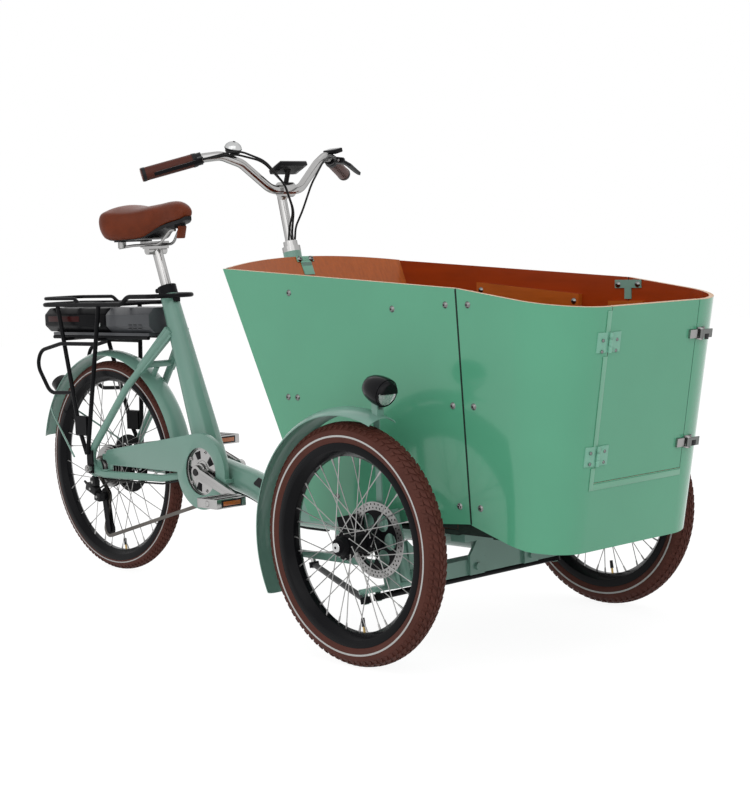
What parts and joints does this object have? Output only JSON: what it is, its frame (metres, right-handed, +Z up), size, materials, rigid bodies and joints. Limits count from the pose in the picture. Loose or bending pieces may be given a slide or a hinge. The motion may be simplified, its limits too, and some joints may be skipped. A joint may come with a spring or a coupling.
{
  "type": "cargo tricycle",
  "caption": "Pedal cargo tricycle with a plywood load box between steered front wheels, a front door, rear rack with battery, saddle and swept handlebar.",
  "frame": {"origin": "on the ground under the middle of the tricycle's length and width", "axes": "+X forward, +Y to the rider's left, +Z up"},
  "size_m": [2.181, 0.904, 1.1129],
  "materials": {
    "paint": "satin mint enamel",
    "ply_mint": "mint-lacquered plywood",
    "ply_orange": "orange-brown stained plywood",
    "black_metal": "black powder coat",
    "alloy": "polished",
    "steel": "brushed",
    "chrome": "bright",
    "tyre_brown": "brown tread",
    "paint_alloy": "enamelled",
    "black_alloy": "black anodised",
    "leather_brown": "stitched",
    "plastic_black": "matte",
    "cable": "sheathed",
    "lamp_black": "gloss",
    "lamp_red": "red lens"
  },
  "bodies": {
    "frame": {"main_frame": "paint_alloy", "headset_cups": "alloy", "seat_collar": "black_metal", "cross_beam": "paint", "box_floor": "ply_orange", "box_side_right": "ply_mint", "box_side_left": "ply_mint", "box_rear_panel": "ply_mint", "box_front_shell": "ply_mint", "box_bolts": "chrome", "box_brackets": "paint", "box_battens": "ply_orange", "door_hinges": "paint", "rear_fender": "paint", "tail_lamp": "lamp_red", "rear_rack": "black_metal", "controller_case": "plastic_black", "chain_guard": "paint", "chain": "steel", "derailleur": "black_metal", "frame_cables": "cable", "rear_axle": "steel"},
    "battery": {"battery_pack": "plastic_black"},
    "seat": {"seat_post": "alloy", "saddle_rails": "steel", "saddle_cover": "leather_brown", "saddle_base": "plastic_black"},
    "crank": {"crank_right": "alloy", "chainring": "steel", "crank_left": "alloy"},
    "pedal_right_body": {"pedal_right": "alloy"},
    "pedal_left_body": {"pedal_left": "alloy"},
    "rear_wheel": {"rear_tyre": "tyre_brown", "rear_rim_spokes": "black_alloy", "rear_hub": "black_alloy"},
    "cassette": {"sprockets": "steel"},
    "door": {"door_panel": "ply_mint", "door_fittings": "paint"},
    "latch_upper_body": {"latch_upper": "chrome"},
    "latch_lower_body": {"latch_lower": "chrome"},
    "steering": {"steering_column": "alloy", "handlebar": "alloy", "grips": "leather_brown", "bar_controls": "plastic_black", "bar_cables": "cable"},
    "lever_right": {"brake_lever_right": "black_metal"},
    "lever_left": {"brake_lever_left": "black_metal"},
    "knuckle_right_body": {"knuckle_right": "paint", "front_fender_right": "paint"},
    "knuckle_left_body": {"knuckle_left": "paint", "front_fender_left": "paint"},
    "lamp": {"headlight": "lamp_black"},
    "wheel_right": {"front_tyre_right": "tyre_brown", "front_rim_spokes_right": "black_alloy", "front_hub_right": "black_alloy"},
    "wheel_left": {"front_tyre_left": "tyre_brown", "front_rim_spokes_left": "black_alloy", "front_hub_left": "black_alloy"},
    "tie_rod_body": {"tie_rod": "steel"},
    "drag_link_body": {"drag_link": "steel"}
  },
  "joints": [
    {"name": "steering", "type": "hinge", "parent": "frame", "child": "steering", "pos_m": [-0.01165, 0, 0.864], "axis": [-0.213, 0, 0.977], "range_deg": [-20, 20]},
    {"name": "knuckle_right_turn", "type": "hinge", "parent": "frame", "child": "knuckle_right_body", "pos_m": [0.60835, -0.284, 0.2522], "axis": [-0.213, 0, 0.977], "range_deg": [-20, 20]},
    {"name": "knuckle_left_turn", "type": "hinge", "parent": "frame", "child": "knuckle_left_body", "pos_m": [0.60835, 0.284, 0.2522], "axis": [-0.213, 0, 0.977], "range_deg": [-20, 20]},
    {"name": "tie_rod_pivot", "type": "hinge", "parent": "knuckle_right_body", "child": "tie_rod_body", "pos_m": [0.55225, -0.284, 0.1105], "axis": [-0.213, 0, 0.977], "range_deg": [-20, 20]},
    {"name": "drag_link_pivot", "type": "hinge", "parent": "steering", "child": "drag_link_body", "pos_m": [0.09355, -0.06, 0.09987], "axis": [-0.213, 0, 0.977], "range_deg": [-20, 20]},
    {"name": "front_wheel_right_spin", "type": "hinge", "parent": "knuckle_right_body", "child": "wheel_right", "pos_m": [0.60835, -0.4, 0.2522], "axis": [0, 1, 0], "continuous": true},
    {"name": "front_wheel_left_spin", "type": "hinge", "parent": "knuckle_left_body", "child": "wheel_left", "pos_m": [0.60835, 0.4, 0.2522], "axis": [0, 1, 0], "continuous": true},
    {"name": "rear_wheel_spin", "type": "hinge", "parent": "frame", "child": "rear_wheel", "pos_m": [-0.78165, 0, 0.2862], "axis": [0, 1, 0], "continuous": true},
    {"name": "crank_spin", "type": "hinge", "parent": "frame", "child": "crank", "pos_m": [-0.33165, 0, 0.303], "axis": [0, 1, 0], "continuous": true},
    {"name": "sprocket_spin", "type": "hinge", "parent": "frame", "child": "cassette", "pos_m": [-0.78165, 0, 0.2862], "axis": [0, 1, 0], "continuous": true},
    {"name": "pedal_right_spin", "type": "hinge", "parent": "crank", "child": "pedal_right_body", "pos_m": [-0.1714, 0, 0.24625], "axis": [0, 1, 0], "continuous": true},
    {"name": "pedal_left_spin", "type": "hinge", "parent": "crank", "child": "pedal_left_body", "pos_m": [-0.4919, 0, 0.35975], "axis": [0, 1, 0], "continuous": true},
    {"name": "door_hinge", "type": "hinge", "parent": "frame", "child": "door", "pos_m": [1.04138, -0.1396, 0.42925], "axis": [-0.1748, 0, -0.9846], "range_deg": [0, 110]},
    {"name": "latch_upper_hinge", "type": "hinge", "parent": "frame", "child": "latch_upper_body", "pos_m": [1.08498, 0.1472, 0.6536], "axis": [-0.1748, 0, -0.9846], "range_deg": [0, 110]},
    {"name": "latch_lower_hinge", "type": "hinge", "parent": "frame", "child": "latch_lower_body", "pos_m": [1.04503, 0.1472, 0.4286], "axis": [-0.1748, 0, -0.9846], "range_deg": [0, 110]},
    {"name": "brake_right", "type": "hinge", "parent": "steering", "child": "lever_right", "pos_m": [-0.06378, -0.22394, 1.07402], "axis": [0, -0.28, 0.96], "range_deg": [-12, 0], "stiffness_Nm_per_rad": 2, "springref_deg": 2.86},
    {"name": "brake_left", "type": "hinge", "parent": "steering", "child": "lever_left", "pos_m": [-0.06378, 0.22394, 1.07402], "axis": [0, -0.28, -0.96], "range_deg": [-12, 0], "stiffness_Nm_per_rad": 2, "springref_deg": 2.86},
    {"name": "seat_height", "type": "slide", "parent": "frame", "child": "seat", "axis": [-0.3345, 0, 0.9424], "range_m": [-0.06, 0.09]},
    {"name": "battery_slide", "type": "slide", "parent": "frame", "child": "battery", "axis": [-1, 0, 0], "range_m": [0, 0.31]},
    {"name": "headlight_tilt", "type": "hinge", "parent": "knuckle_right_body", "child": "lamp", "pos_m": [0.69235, -0.4, 0.542], "axis": [0, 1, 0], "range_deg": [-15, 15]}
  ],
  "couplings": [
    {"joint": "knuckle_right_turn", "follows": "steering", "ratio": 1},
    {"joint": "knuckle_left_turn", "follows": "steering", "ratio": 1},
    {"joint": "tie_rod_pivot", "follows": "steering", "ratio": -1},
    {"joint": "drag_link_pivot", "follows": "steering", "ratio": -1},
    {"joint": "sprocket_spin", "follows": "crank_spin", "ratio": 2.9811}
  ]
}
